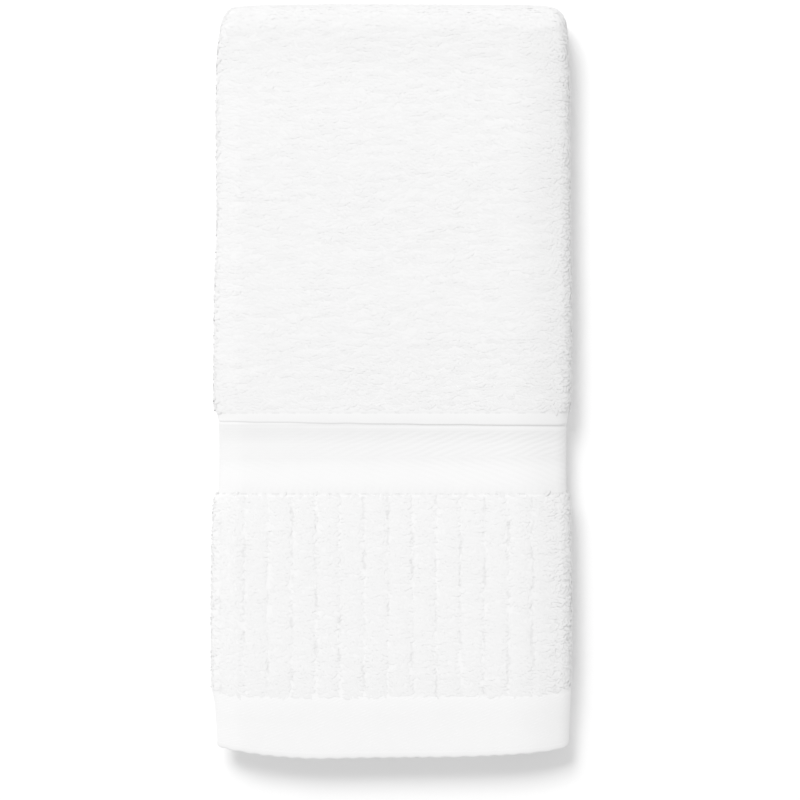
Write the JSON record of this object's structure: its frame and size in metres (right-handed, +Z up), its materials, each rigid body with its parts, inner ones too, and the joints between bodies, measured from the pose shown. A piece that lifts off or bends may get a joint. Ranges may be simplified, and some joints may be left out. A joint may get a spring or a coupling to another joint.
{
  "type": "hand towel",
  "caption": "White cotton terry hand towel, folded in three and turned over once, with a herringbone band, ribbed pile and a flat hem at its open end.",
  "frame": {"origin": "on the surface the towel lies on, under the middle of the folded towel", "axes": "+Z up out of the face that shows, +Y towards the turned end, -Y towards the hems, +X towards the full side fold"},
  "size_m": [0.1684, 0.3506, 0.0285],
  "materials": {
    "cotton_terry": "matt white looped cotton pile"
  },
  "bodies": {
    "root": {"towel": "cotton_terry"}
  },
  "joints": []
}
